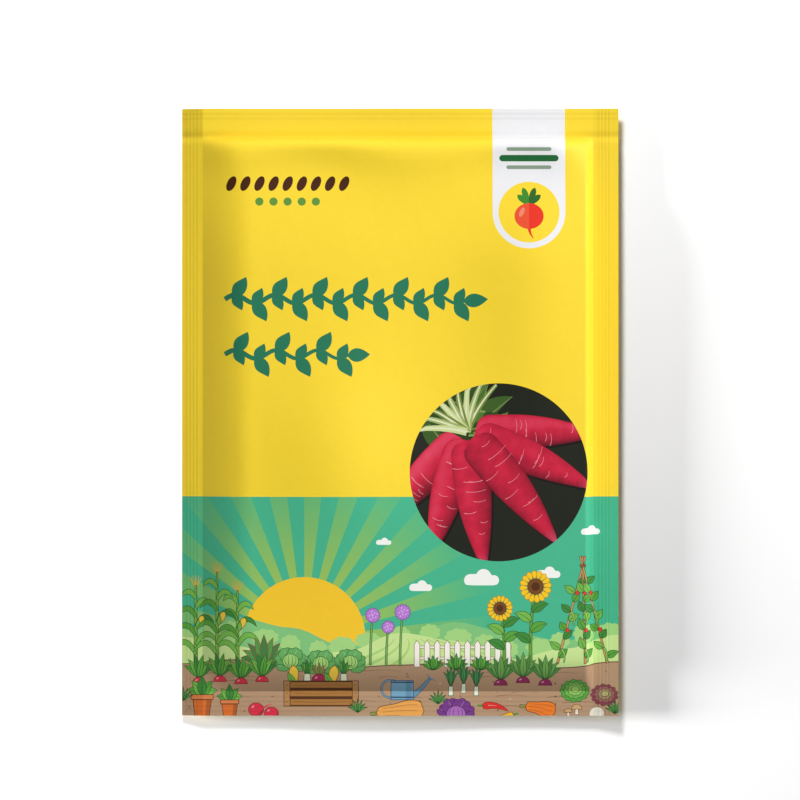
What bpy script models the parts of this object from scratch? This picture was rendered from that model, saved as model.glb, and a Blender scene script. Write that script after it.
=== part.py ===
"""A sealed seed packet lying on its back, with its seeds inside.

Two webs of printed film are welded face to face along all four edges, by hot bars that press ribs
into the seals. Between the seals the webs stand apart as a shallow pillow, and a few dozen radish
seeds lie loose in it. The belly of the back web is pressed flat where the packet rests.

Metres, +Z up. The front of the packet faces up, its top edge points along +Y, and the origin is
under the packet's centre, on the surface that it lies on.
"""

import math
import random

import bmesh
import bpy
from mathutils import Matrix, Vector


class Seal:
    """A welded band along a cut edge, with ribs that start at a margin in from the edge."""

    def __init__(self, width, margin, ribs, pitch):
        self.width = width
        self.margin = margin
        self.ribs = ribs
        self.pitch = pitch

    def fold_lines(self):
        """Distances in from the cut edge where the surface changes slope."""
        folds = [self.margin + k * self.pitch / 2 for k in range(2 * self.ribs + 1)]
        return [0.0, *folds]

    def rib_height(self, inset):
        """Height of the ribs at a distance in from the cut edge: peaks with straight flanks."""
        turns = (inset - self.margin) / self.pitch
        if not 0 < turns < self.ribs:
            return 0.0
        return RIB_RISE * (1 - abs(2 * (turns % 1.0) - 1))


# Driving dimensions of the packet
WIDTH = 0.0825
HEIGHT = 0.1147
FILM_THICKNESS = 0.00012
WELD_GAP = 0.0001

# Seals
RIB_RISE = 0.0001
SIDE_SEAL = Seal(width=0.0046, margin=0.0013, ribs=4, pitch=0.00065)
TOP_SEAL = Seal(width=0.0053, margin=0.0004, ribs=2, pitch=0.0009)
BOTTOM_SEAL = Seal(width=0.0047, margin=0.0006, ribs=4, pitch=0.0009)

# Pillow: how far each web stands off the plane of the seals, and how far in it levels out
BACK_DROP = 0.0022
BACK_REACH = 0.013
FRONT_RISE = 0.0031
FRONT_SIDE_REACH = 0.0095
FRONT_END_REACH = 0.013
FRONT_CROWN = 0.0012
ACROSS_STEPS = 16
ALONG_STEPS = 20
STEP_CROWDING = 1.6

# Seeds: half-axes of one seed, and the pool that they lie in
SEED_AXES = (0.00145, 0.00136, 0.00124)
SEED_SIZE_SPREAD = 0.05
SEED_TILT = math.radians(14)
SEED_FACETING = 2
SEED_SPACING = 0.00254
SEED_CLEARANCE = 0.0001
POOL_CENTRE = Vector((0.001, -0.009, 0.0))
POOL_HALF_AXES = (0.0112, 0.0080)
UPPER_SEEDS = 4
UPPER_SINK = 0.00055
RANDOM_SEED = 7

SEAL_PLANE = FILM_THICKNESS + BACK_DROP + WELD_GAP / 2


def clear_scene():
    """Removes whatever the file holds, so that the packet is alone in it."""
    for old in list(bpy.data.objects):
        bpy.data.objects.remove(old, do_unlink=True)


def finish_material(name, colour, roughness):
    """A Principled material with one colour. Nothing on the packet is bare metal."""
    material = bpy.data.materials.new(name)
    material.use_nodes = True
    shader = material.node_tree.nodes["Principled BSDF"]
    shader.inputs["Base Color"].default_value = (*colour, 1.0)
    shader.inputs["Roughness"].default_value = roughness
    shader.inputs["Metallic"].default_value = 0.0
    return material


def add_object(name, mesh, material):
    """Links a mesh to the scene as a named sub-part."""
    part = bpy.data.objects.new(name, mesh)
    bpy.context.scene.collection.objects.link(part)
    mesh.materials.clear()
    mesh.materials.append(material)
    return part


def pillow_lines(span, steps):
    """Distances across the unsealed part, crowded towards its seals, where the web bends most."""
    half_steps = steps // 2
    near = [span / 2 * (k / half_steps) ** STEP_CROWDING for k in range(half_steps + 1)]
    far = [span - distance for distance in reversed(near[:-1])]
    return near + far


def grid_lines(length, low_seal, high_seal, steps):
    """Coordinates of the mesh lines along one direction, centred on the packet."""
    low = low_seal.fold_lines()
    high = [length - distance for distance in reversed(high_seal.fold_lines())]
    span = length - low_seal.width - high_seal.width
    middle = [low_seal.width + distance for distance in pillow_lines(span, steps)]
    return [distance - length / 2 for distance in low + middle + high]


def seal_relief(x, y):
    """Ribs of all four seals at a point. They cross in the corners, where two bars have pressed."""
    side = SIDE_SEAL.rib_height(WIDTH / 2 - abs(x))
    top = TOP_SEAL.rib_height(HEIGHT / 2 - y)
    bottom = BOTTOM_SEAL.rib_height(HEIGHT / 2 + y)
    return side + top + bottom


def seal_insets(x, y):
    """Distances of a point from the inner edges of the nearest side seal and end seal."""
    across = WIDTH / 2 - abs(x) - SIDE_SEAL.width
    from_top = HEIGHT / 2 - y - TOP_SEAL.width
    from_bottom = HEIGHT / 2 + y - BOTTOM_SEAL.width
    return max(across, 0.0), max(min(from_top, from_bottom), 0.0)


def roll_off(inset, reach):
    """0 at a seal and 1 from reach inwards, steepest at the seal as a filled web is."""
    share = min(inset / reach, 1.0)
    return 1 - (1 - share) ** 2


def arch(inset, half_span):
    """0 at a seal and 1 in the middle of the packet, in a quarter of a sine wave."""
    return math.sin(math.pi / 2 * inset / half_span)


def front_inner_height(x, y):
    """Inner face of the front web: a level field with a low crown."""
    across, along = seal_insets(x, y)
    field = roll_off(across, FRONT_SIDE_REACH) * roll_off(along, FRONT_END_REACH)
    half_width = WIDTH / 2 - SIDE_SEAL.width
    half_height = (HEIGHT - TOP_SEAL.width - BOTTOM_SEAL.width) / 2
    crown = arch(across, half_width) * arch(along, half_height)
    lift = FRONT_RISE * field + FRONT_CROWN * crown
    return SEAL_PLANE + WELD_GAP / 2 + seal_relief(x, y) + lift


def back_inner_height(x, y):
    """Inner face of the back web: it drops to a belly that lies flat."""
    across, along = seal_insets(x, y)
    drop = BACK_DROP * roll_off(across, BACK_REACH) * roll_off(along, BACK_REACH)
    return SEAL_PLANE - WELD_GAP / 2 + seal_relief(x, y) - drop


def film_web(name, inner_height, outwards, material):
    """One web of film: its inner face as a grid, thickened away from the other web."""
    across = grid_lines(WIDTH, SIDE_SEAL, SIDE_SEAL, ACROSS_STEPS)
    along = grid_lines(HEIGHT, BOTTOM_SEAL, TOP_SEAL, ALONG_STEPS)
    sheet = bmesh.new()
    rows = [[sheet.verts.new((x, y, inner_height(x, y))) for x in across] for y in along]
    for low, high in zip(rows, rows[1:]):
        for k in range(len(across) - 1):
            sheet.faces.new((low[k], low[k + 1], high[k + 1], high[k]))
    mesh = bpy.data.meshes.new(name)
    sheet.to_mesh(mesh)
    sheet.free()
    web = add_object(name, mesh, material)
    wall = web.modifiers.new("film", "SOLIDIFY")
    wall.thickness = FILM_THICKNESS
    wall.offset = outwards
    wall.use_even_offset = True


def seed_mesh():
    """One seed as a small round body of unit size."""
    form = bmesh.new()
    bmesh.ops.create_icosphere(form, subdivisions=SEED_FACETING, radius=1.0)
    mesh = bpy.data.meshes.new("seed")
    form.to_mesh(mesh)
    form.free()
    return mesh


def pool_places():
    """Centres of the lower seeds, the innermost first: close-packed rows inside an ellipse."""
    row_step = SEED_SPACING * math.sin(math.radians(60))
    rows = int(POOL_HALF_AXES[1] / row_step)
    columns = int(POOL_HALF_AXES[0] / SEED_SPACING) + 1
    places = []
    for row in range(-rows, rows + 1):
        for column in range(-columns, columns + 1):
            x = (column + 0.5 * (row % 2)) * SEED_SPACING
            y = row * row_step
            if math.hypot(x / POOL_HALF_AXES[0], y / POOL_HALF_AXES[1]) < 1:
                places.append(Vector((x, y, 0.0)))
    places.sort(key=lambda place: place.length)
    return [POOL_CENTRE + place for place in places]


def place_seed(group, unit_seed, place, level, draw):
    """A seed of its own size and turn, standing on a level."""
    scale = 1 + draw.uniform(-SEED_SIZE_SPREAD, SEED_SIZE_SPREAD)
    size = Matrix.Diagonal([axis * scale for axis in SEED_AXES])
    tilt = Matrix.Rotation(draw.uniform(-SEED_TILT, SEED_TILT), 3, "X")
    turn = Matrix.Rotation(draw.uniform(0, math.pi), 3, "Z")
    form = unit_seed.copy()
    form.transform((turn @ tilt @ size).to_4x4())
    lowest = min(vertex.co.z for vertex in form.vertices)
    form.transform(Matrix.Translation((place.x, place.y, level - lowest)))
    seed = bpy.data.objects.new("seed", form)
    group.objects.link(seed)
    return seed


def lay_seeds(group):
    """A layer of seeds on the belly, and a few in the hollows on top of it."""
    draw = random.Random(RANDOM_SEED)
    unit_seed = seed_mesh()
    places = pool_places()
    belly = FILM_THICKNESS + SEED_CLEARANCE
    seeds = [place_seed(group, unit_seed, place, belly, draw) for place in places]
    hollow = Vector((SEED_SPACING / 2, SEED_SPACING / (2 * math.sqrt(3)), 0.0))
    upper_level = belly + 2 * SEED_AXES[2] - UPPER_SINK
    for place in places[: 3 * UPPER_SEEDS : 3]:
        seeds.append(place_seed(group, unit_seed, place + hollow, upper_level, draw))
    return seeds


def seed_pool(name, material):
    """All the seeds as one body: each is sunk a little into those that it touches."""
    group = bpy.data.collections.new("loose seeds")
    bpy.context.scene.collection.children.link(group)
    seeds = lay_seeds(group)
    pool = add_object(name, seeds[0].data, material)
    bpy.data.objects.remove(seeds[0])
    joined = pool.modifiers.new("touching seeds", "BOOLEAN")
    joined.operation = "UNION"
    joined.operand_type = "COLLECTION"
    joined.collection = group
    joined.solver = "EXACT"
    graph = bpy.context.evaluated_depsgraph_get()
    pool.data = bpy.data.meshes.new_from_object(pool.evaluated_get(graph))
    pool.modifiers.clear()
    for seed in list(group.objects):
        bpy.data.objects.remove(seed)
    bpy.data.collections.remove(group)


def main():
    clear_scene()
    front_print = finish_material("front print", (0.99, 0.71, 0.037), 0.38)
    back_print = finish_material("back print", (0.96, 0.67, 0.035), 0.38)
    seed_coat = finish_material("seed coat", (0.30, 0.12, 0.06), 0.75)
    film_web("front_film", front_inner_height, 1, front_print)
    film_web("back_film", back_inner_height, -1, back_print)
    seed_pool("seeds", seed_coat)


main()
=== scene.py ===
import cmath
import math
import random

import bpy
import numpy as np
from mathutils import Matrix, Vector, noise
from mathutils.geometry import delaunay_2d_cdt


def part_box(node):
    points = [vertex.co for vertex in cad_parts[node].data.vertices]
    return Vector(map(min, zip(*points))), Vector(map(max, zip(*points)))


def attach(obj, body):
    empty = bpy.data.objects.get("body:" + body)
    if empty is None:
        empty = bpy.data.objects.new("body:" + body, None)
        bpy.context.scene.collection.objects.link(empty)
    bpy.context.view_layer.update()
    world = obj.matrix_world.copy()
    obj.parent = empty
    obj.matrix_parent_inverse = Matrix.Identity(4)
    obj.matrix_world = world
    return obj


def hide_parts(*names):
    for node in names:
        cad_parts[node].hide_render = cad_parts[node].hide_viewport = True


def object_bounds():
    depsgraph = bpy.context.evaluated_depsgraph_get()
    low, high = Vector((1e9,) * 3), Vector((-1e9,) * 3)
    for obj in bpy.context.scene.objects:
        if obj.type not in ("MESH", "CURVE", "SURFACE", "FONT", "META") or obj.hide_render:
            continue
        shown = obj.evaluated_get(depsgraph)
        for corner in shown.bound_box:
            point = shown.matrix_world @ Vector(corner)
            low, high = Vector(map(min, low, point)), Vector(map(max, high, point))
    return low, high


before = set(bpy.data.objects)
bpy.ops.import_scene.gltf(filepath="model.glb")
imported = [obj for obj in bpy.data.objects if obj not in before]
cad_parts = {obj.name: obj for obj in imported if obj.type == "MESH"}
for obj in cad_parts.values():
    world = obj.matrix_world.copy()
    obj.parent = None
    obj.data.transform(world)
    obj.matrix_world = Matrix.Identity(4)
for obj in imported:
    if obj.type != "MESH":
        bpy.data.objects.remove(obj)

cad_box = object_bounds()

# The packet lies on its back on a white table and is looked at from straight above, with its top edge
# away from the camera, which stands so far off that the edges stay parallel. A soft lamp low on the
# right lights the packet. As in a studio, the white background has a lamp of its own, high up behind.
low_corner, high_corner = cad_box
packet_width = high_corner.x - low_corner.x
packet_height = high_corner.y - low_corner.y

photo_side_px = 800
packet_width_px = 435.4
packet_middle_px = 412.2
metres_per_px = packet_width / packet_width_px
camera_height = 0.9
sensor_mm = 36.0

camera_data = bpy.data.cameras.new("camera")
camera_data.sensor_width = sensor_mm
camera_data.lens = sensor_mm * camera_height / (photo_side_px * metres_per_px)
camera_data.clip_start = 0.01
camera = bpy.data.objects.new("camera", camera_data)
camera.location = (0.0, (packet_middle_px - photo_side_px / 2) * metres_per_px, camera_height)
bpy.context.scene.collection.objects.link(camera)
bpy.context.scene.camera = camera

lit_packet = bpy.data.collections.new("lit packet")
lit_table = bpy.data.collections.new("lit table")


def soft_lamp(name, azimuth, elevation, distance, size, power, lit):
    """A square soft lamp that faces the packet and lights one collection."""
    data = bpy.data.lights.new(name, "AREA")
    data.size = size
    data.energy = power
    lamp = bpy.data.objects.new(name, data)
    flat = math.cos(math.radians(elevation))
    way = Vector((
        flat * math.cos(math.radians(azimuth)),
        flat * math.sin(math.radians(azimuth)),
        math.sin(math.radians(elevation)),
    ))
    lamp.location = way * distance
    lamp.rotation_euler = way.to_track_quat("Z", "Y").to_euler()
    lamp.light_linking.receiver_collection = lit
    bpy.context.scene.collection.objects.link(lamp)


soft_lamp("side lamp", 34, 43, distance=1.5, size=0.6, power=25.5, lit=lit_packet)
soft_lamp("background lamp", 101, 44, distance=0.357, size=0.08, power=1.25, lit=lit_table)
soft_lamp("low lamp", 180, 11, distance=1.2, size=0.36, power=38.0, lit=lit_table)

room = bpy.data.worlds.new("white room")
room.use_nodes = True
room.node_tree.nodes["Background"].inputs["Color"].default_value = (1.0, 1.0, 1.0, 1.0)
room.node_tree.nodes["Background"].inputs["Strength"].default_value = 0.2
bpy.context.scene.world = room
bpy.context.scene.view_settings.view_transform = "Standard"

table_half = 1.5
table_mesh = bpy.data.meshes.new("table")
table_corners = [(-table_half, -table_half), (table_half, -table_half), (table_half, table_half), (-table_half, table_half)]
table_mesh.from_pydata([(x, y, 0.0) for x, y in table_corners], [], [(0, 1, 2, 3)])
table = bpy.data.objects.new("table", table_mesh)
bpy.context.scene.collection.objects.link(table)
lit_table.objects.link(table)
table_paint = bpy.data.materials.new("table paint")
table_paint.use_nodes = True
table_paint.node_tree.nodes["Principled BSDF"].inputs["Base Color"].default_value = (0.97, 0.97, 0.97, 1.0)
table_paint.node_tree.nodes["Principled BSDF"].inputs["Roughness"].default_value = 0.9
table_mesh.materials.append(table_paint)


# Print on the front web: flat inks laid over each other on the film before the packet is made.
# Outlines are complex numbers in millimetres from the middle of the packet, right and up.
half_wide = 500 * packet_width
half_high = 500 * packet_height


def block(left, bottom, right, top):
    """An upright rectangle."""
    return [complex(left, bottom), complex(right, bottom), complex(right, top), complex(left, top)]


class Artwork:
    """The inks of one web, in the order in which they are printed, and where its print is fine."""

    def __init__(self, ground):
        self.inks = [(block(-half_wide, -half_high, half_wide, half_high), ground)]
        self.fine_spots = []

    def ink(self, outline, colour):
        """Fills an outline. A colour is red, green and blue out of 255, or a rule that gives it."""
        self.inks.append((outline, colour))

    def drawn(self, outline, colour, edge, width=0.13):
        """Fills an outline and draws a thin line round its inside."""
        self.ink(outline, edge)
        self.ink(inset(outline, width), colour)


def unit(step):
    """A step of length one, or none where there is no direction."""
    return step / abs(step) if abs(step) > 1e-9 else 0j


def inset(outline, distance):
    """An outline moved inwards, by no more than twice the distance at a sharp corner."""
    area = sum((a.conjugate() * b).imag for a, b in zip(outline, outline[1:] + outline[:1]))
    points = outline if area > 0 else outline[::-1]
    moved = []
    for before, here, after in zip(points[-1:] + points[:-1], points, points[1:] + points[:1]):
        first = unit(here - before) * 1j
        middle = unit(first + unit(after - here) * 1j)
        lean = max((middle.conjugate() * first).real, 0.5)
        moved.append(here + middle * distance / lean)
    return moved


def mixed(first, second, share):
    """A colour between two colours."""
    share = min(max(share, 0.0), 1.0)
    return tuple(a + (b - a) * share for a, b in zip(first, second))


def polar(length, degrees):
    """A step of a length in a direction."""
    return cmath.rect(length, math.radians(degrees))


def arc(centre, radius, start, stop, steps=12):
    """Points along part of a circle, with angles in degrees."""
    return [centre + polar(radius, start + (stop - start) * k / steps) for k in range(steps + 1)]


def oval(centre, across, along=None, turn=0.0, steps=22):
    """A circle, or an ellipse with half-axes across and along, turned by some degrees."""
    along = across if along is None else along
    angles = [math.tau * k / steps for k in range(steps)]
    return [centre + polar(1, turn) * complex(across * math.cos(a), along * math.sin(a)) for a in angles]


def bow(start, pull, end, steps=8):
    """Points of a bent line that is pulled towards a point."""
    shares = [k / steps for k in range(steps + 1)]
    return [(1 - s) ** 2 * start + 2 * s * (1 - s) * pull + s * s * end for s in shares]


def strip(path, width_rule):
    """A strip along a path, with its width given by a rule for each share of the path."""
    right, left = [], []
    for k, here in enumerate(path):
        way = path[min(k + 1, len(path) - 1)] - path[max(k - 1, 0)]
        side = unit(way) * 1j * width_rule(k / (len(path) - 1)) / 2
        right.append(here - side)
        left.append(here + side)
    rim = right + left[::-1]
    return [p for k, p in enumerate(rim) if abs(p - rim[k - 1]) > 1e-4]


def line(path, start_width, end_width=None):
    """A drawn line that may taper."""
    end_width = start_width if end_width is None else end_width
    return strip(path, lambda s: start_width + (end_width - start_width) * s)


def leaf_rib(base, tip, sag, steps=8):
    """The middle line of a leaf. A sag bends it to one side, as a share of its length."""
    return bow(base, (base + tip) / 2 + (tip - base) * 2j * sag, tip, steps)


def leaf(base, tip, width, sag=0.0, steps=8):
    """A pointed leaf."""
    return strip(leaf_rib(base, tip, sag, steps), lambda s: width * max(math.sin(math.pi * s**0.8), 0.0) ** 0.9)


def petal(base, tip, width, sag=0.0, steps=8):
    """A round-ended leaf or petal, broadest near its end."""
    return strip(leaf_rib(base, tip, sag, steps), lambda s: width * max(math.sin(math.pi * s**1.6), 0.0) ** 0.6)


yellow_ink = (255, 221, 55)
teal_ink = (73, 186, 144)
ray_ink = (176, 200, 84)
sun_ink = (251, 204, 46)
ground_line = -15.9
sun_centre = complex(-18.0, -42.5)
sun_radius = 11.5
ray_reach = 36.0
ray_pairs = 26


def ray_colour(point):
    """A ray is greenish yellow at the sun and fades into the sky."""
    return mixed(ray_ink, teal_ink, (abs(point - sun_centre) / ray_reach) ** 1.4)


front = Artwork(teal_ink)
for pair in range(ray_pairs):
    start = 360 * pair / ray_pairs
    far_side = arc(sun_centre, 75.0, start, start + 180 / ray_pairs, steps=2)
    near_side = arc(sun_centre, sun_radius - 2, start + 180 / ray_pairs, start, steps=2)
    if max(p.imag for p in far_side + near_side) > -half_high:
        front.ink(far_side + near_side, ray_colour)
front.ink(block(-half_wide, ground_line, half_wide, half_high), yellow_ink)
front.ink(oval(sun_centre, sun_radius, steps=72), sun_ink)


# White tab at the top right, with three plain bars and, under them, a round radish in two flat
# tones on a yellow disc.
tab_middle = 24.3
tab_half = 6.85
tab_end = 37.7
tab_ink = (240, 240, 242)
grey_green_ink = (138, 158, 138)
dark_green_ink = (30, 104, 52)
tab = [complex(tab_middle - tab_half, half_high)]
tab += arc(complex(tab_middle, tab_end), tab_half, 180, 360, steps=48)
tab += [complex(tab_middle + tab_half, half_high)]
front.ink(tab, tab_ink)


def bar(art, centre, half_length, thickness, colour):
    """A plain bar with round ends, such as stands where a line of words would be."""
    ends = arc(centre + half_length, thickness / 2, -90, 90, steps=6)
    ends += arc(centre - half_length, thickness / 2, 90, 270, steps=6)
    art.ink(ends, colour)


bar(front, complex(tab_middle, 49.6), 3.9, 0.7, grey_green_ink)
bar(front, complex(tab_middle, 47.9), 5.0, 1.2, dark_green_ink)
bar(front, complex(tab_middle, 46.2), 3.9, 0.7, grey_green_ink)

disc_radius = 5.75
icon_red = (236, 52, 34)
icon_pale_red = (238, 84, 50)
icon_gloss = (244, 138, 110)
icon_green = (62, 140, 44)
icon_dark_green = (44, 104, 36)
disc_centre = complex(tab_middle, tab_end)
root_centre = disc_centre - 0.75j
front.ink(oval(disc_centre, disc_radius, steps=48), yellow_ink)
for side, length in ((-1, 3.2), (1, 3.2), (-0.4, 3.9), (0.4, 3.9)):
    foot = root_centre + 1.7j
    colour = icon_green if side < 0 else icon_dark_green
    front.ink(petal(foot, foot + polar(length, 90 - 44 * side), 1.15, sag=0.05 * side), colour)
front.ink(line(bow(root_centre - 2.0j, root_centre - 3.2j, root_centre + (0.8 - 4.2j)), 0.7, 0.12), icon_red)
front.ink(oval(root_centre, 2.75, 2.45, steps=36), icon_red)
front.ink([p for p in oval(root_centre, 2.75, 2.45, steps=36) if p.real <= root_centre.real + 0.01], icon_pale_red)
front.ink(oval(root_centre + (-1.35 + 0.75j), 0.42, 0.95, turn=-24, steps=16), icon_gloss)


# Seed and leaf ornaments in the upper half: a row of brown seeds over a row of green dots, and two
# rows of a leafy vine, printed in solid dark inks.
seed_ink = (72, 34, 12)
dot_ink = (98, 150, 62)
vine_ink = (40, 122, 90)
for k in range(9):
    front.ink(oval(complex(-31.8 + 2.66 * k, 43.1), 0.82, 1.5, turn=-26, steps=20), seed_ink)
for k in range(5):
    front.ink(oval(complex(-26.5 + 2.66 * k, 39.7), 0.78, steps=16), dot_ink)


def vine(art, left, right, height, sway, leaf_length, leaf_width, spacing):
    """A swaying stem with a leaf on each side by turns and one at its end."""
    length = right - left
    waves = round(length / spacing / 2)

    def stem(at):
        return complex(left + at * length, height + sway * math.sin(math.tau * waves * at))

    path = [stem(k / (12 * waves)) for k in range(12 * waves + 1)]
    art.ink(line(path, 0.95, 0.6), vine_ink)
    for k in range(2 * waves):
        at = (k + 0.5) / (2 * waves)
        side = -1 if k % 2 else 1
        foot = stem(at - 0.012)
        for lean, size, way in ((52, 1.0, side), (56, 0.78, -side)):
            tip = foot + polar(leaf_length * size, lean * way)
            art.ink(leaf(foot, tip, leaf_width * size, sag=-0.07 * way), vine_ink)
    art.ink(leaf(stem(0.985), stem(1.0) + leaf_length * 0.9, leaf_width), vine_ink)


vine(front, -33.0, 12.6, 21.3, 0.8, 4.4, 2.6, 4.0)
vine(front, -33.0, -9.6, 10.9, 0.8, 4.4, 2.6, 4.0)


# Round picture on the right: a bunch of long red radishes, fanned out from its tie, on dark leaves.
# It is printed in shaded inks, so its mesh is finer there.
picture_centre = complex(18.57, -11.3)
picture_radius = 16.75
backdrop_ink = (30, 34, 22)
radish_red = (212, 34, 66)
radish_shade = (104, 8, 30)
radish_light = (240, 106, 128)


def in_picture(outline):
    """Keeps an outline inside the round picture."""
    kept = []
    for point in outline:
        offset = point - picture_centre
        kept.append(picture_centre + unit(offset) * min(abs(offset), picture_radius - 0.02))
    return kept


class Root:
    """One long radish with a bent middle line, round shoulders and a thin tail."""

    def __init__(self, crown, pull, tip, width, seed):
        self.path = bow(crown, pull, tip, steps=26)
        self.width = width
        self.seed = seed

    def width_at(self, share):
        shoulder = math.sqrt(1 - (1 - min(share / 0.13, 1.0)) ** 2)
        taper = 1 - max((share - 0.3) / 0.7, 0.0) ** 2.1
        return max(self.width * shoulder * taper, 0.0)

    def place(self, point):
        """How far along the root a point is, how far across it from -1 to 1, and its direction."""
        k = min(range(1, len(self.path) - 1), key=lambda n: abs(point - self.path[n]))
        way = unit(self.path[k + 1] - self.path[k - 1])
        offset = (point - self.path[k]) * way.conjugate()
        step = abs(self.path[k + 1] - self.path[k - 1]) / 2
        along = (k + offset.real / step) / (len(self.path) - 1)
        width = max(self.width_at(min(max(along, 0.02), 0.98)), 0.2)
        return along, min(max(2 * offset.imag / width, -1.0), 1.0), way

    def colour(self, point):
        """Skin shaded as a round body lit from above in the picture."""
        along, across, way = self.place(point)
        facing = math.sqrt(1 - across * across)
        light = 0.62 * facing + 0.55 * (way * 1j * across * polar(1, -125)).real
        mottle = noise.noise(Vector((point.real * 0.5, point.imag * 0.5, self.seed)))
        pores = noise.noise(Vector((along * 60.0, across * 2.0, self.seed + 5.0)))
        skin = mixed(radish_shade, radish_red, 0.25 + 1.05 * light + 0.18 * mottle + 0.12 * pores)
        skin = mixed(skin, radish_light, (light - 0.66) * 2.6 + 0.15 * mottle)
        return mixed(skin, (240, 190, 196), (along - 0.86) * 3.0)


tie = picture_centre + complex(-6.0, 7.6)
picture_draw = random.Random(11)
front.ink(oval(picture_centre, picture_radius, steps=120), backdrop_ink)
for k in range(26):
    foot = tie + cmath.rect(picture_draw.uniform(0, 9), picture_draw.uniform(0, math.tau))
    tip = foot + cmath.rect(picture_draw.uniform(6, 11), picture_draw.uniform(0.1, 3.4))
    shade = picture_draw.uniform(0.55, 1.1)
    green = tuple(shade * c for c in (74, 112, 44))
    front.ink(in_picture(leaf(foot, tip, picture_draw.uniform(2.5, 4.5), sag=0.1)), green)
    front.ink(in_picture(line([foot, (foot + tip) / 2, tip], 0.35, 0.1)), mixed(green, (190, 205, 130), 0.5))

roots = [
    Root(tie + polar(1.5, angle), tie + polar(12, angle + bend), tie + polar(length, angle + bend / 2), width, seed)
    for seed, (angle, bend, length, width) in enumerate((
        (-128, -8, 24, 6.6), (-4, 6, 26, 6.4), (-103, -6, 25, 6.6), (-28, 8, 27, 6.8),
        (-80, -5, 27, 7.0), (-54, 6, 28, 7.2),
    ))
]
for radish in roots:
    shape = strip(radish.path, radish.width_at)
    front.ink(in_picture([p + complex(0.35, -0.45) for p in shape]), (24, 14, 14))
    front.ink(in_picture(shape), radish.colour)
    for k in range(9):
        at = picture_draw.uniform(0.12, 0.8)
        centre = radish.path[int(at * 26)]
        way = unit(radish.path[int(at * 26) + 1] - centre)
        side = picture_draw.uniform(-0.3, 0.3) * radish.width_at(at)
        reach = picture_draw.uniform(0.12, 0.3) * radish.width_at(at)
        start = centre + way * 1j * (side - reach)
        stop = centre + way * 1j * (side + reach)
        mark = line(bow(start, (start + stop) / 2 + way * 0.5, stop, steps=4), 0.09, 0.05)
        front.ink(in_picture(mark), (240, 160, 168))
for k in range(9):
    tip = tie + polar(10.5, 58 + 15 * k)
    stalk = bow(tie, tie + polar(5, 70 + 12 * k), tip)
    front.ink(in_picture(line(stalk, 1.5, 0.7)), mixed((120, 140, 60), (206, 218, 150), k % 3 / 2))
    front.ink(in_picture(line(stalk, 0.5, 0.2)), (226, 232, 190))
front.fine_spots.append((picture_centre, picture_radius, 0.42))


# Garden along the bottom: hills with crop rows, soil, and vegetables in flat inks with a thin line
# round each, in a generic layout.
green_line = (34, 84, 44)
brown_line = (86, 50, 30)
red_line = (116, 22, 30)
white_ink = (250, 250, 244)
leaf_greens = ((92, 166, 62), (120, 188, 78), (66, 140, 58))
garden_draw = random.Random(5)


def hill(art, heights, colour):
    """Ground below a soft skyline through heights at equal steps from left to right."""
    count = len(heights) - 1
    skyline = []
    for k in range(6 * count + 1):
        n = min(k // 6, count - 1)
        share = (1 - math.cos(math.pi * (k / 6 - n))) / 2
        level = heights[n] + (heights[n + 1] - heights[n]) * share
        skyline.append(complex(-half_wide + 2 * half_wide * k / (6 * count), level))
    art.ink(skyline + [complex(half_wide, -half_high), complex(-half_wide, -half_high)], colour)


def frilled(centre, across, along, frills, depth, steps=4):
    """A round shape with a scalloped edge, such as a bush or a lettuce leaf."""
    points = []
    for k in range(frills * steps):
        angle = math.tau * k / (frills * steps)
        reach = 1 - depth * (1 - abs(math.sin(frills * angle / 2)))
        points.append(centre + complex(across * math.cos(angle), along * math.sin(angle)) * reach)
    return points


def cloud(art, centre, size):
    """Three puffs on a flat base."""
    puffs = arc(centre + complex(-size, 0), size * 0.5, 90, 230, steps=6)
    puffs += [centre + complex(-size * 0.7, -size * 0.42), centre + complex(size * 0.9, -size * 0.42)]
    puffs += arc(centre + complex(size * 0.95, 0), size * 0.42, -60, 110, steps=6)
    puffs += arc(centre + complex(0.1 * size, size * 0.3), size * 0.62, 20, 160, steps=9)
    art.ink(puffs, white_ink)


def veined(art, base, tip, width, colour, edge=green_line, sag=0.0):
    """A pointed leaf with a line round it and a middle rib."""
    art.drawn(leaf(base, tip, width, sag), colour, edge, 0.1)
    art.ink(line(leaf_rib(base, tip, sag)[:-1], 0.12, 0.05), edge)


def tuft(art, foot, count, length, width, spread, greens=leaf_greens, edge=green_line):
    """Leaves that fan out from a foot, painted from the outer ones to the middle."""
    middle = (count - 1) / 2
    for k in sorted(range(count), key=lambda k: -abs(k - middle)):
        lean = (k - middle) / max(middle, 1)
        tip = foot + polar(length * (1 - 0.22 * abs(lean)), 90 - spread * lean)
        veined(art, foot, tip, width, greens[k % len(greens)], edge, sag=0.12 * lean)


def ball(art, centre, across, along, colour, edge, turn=0.0):
    """A round root or fruit, shaded at its lower right and glossy at its upper left."""
    art.drawn(oval(centre, across, along, turn), colour, edge, 0.11)
    rim = [polar(1, turn) * complex((across - 0.11) * math.cos(a), (along - 0.11) * math.sin(a))
           for a in (math.radians(-115 + 140 * k / 10) for k in range(11))]
    inner = [p * (1 - 0.34 * math.sin(math.pi * k / 10)) for k, p in enumerate(rim)]
    art.ink([centre + p for p in rim + inner[::-1]], mixed(colour, edge, 0.3))
    art.ink(oval(centre + complex(-0.4 * across, 0.42 * along), 0.2 * across, 0.12 * along, 35, 10),
            mixed(colour, (255, 255, 255), 0.55))


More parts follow.
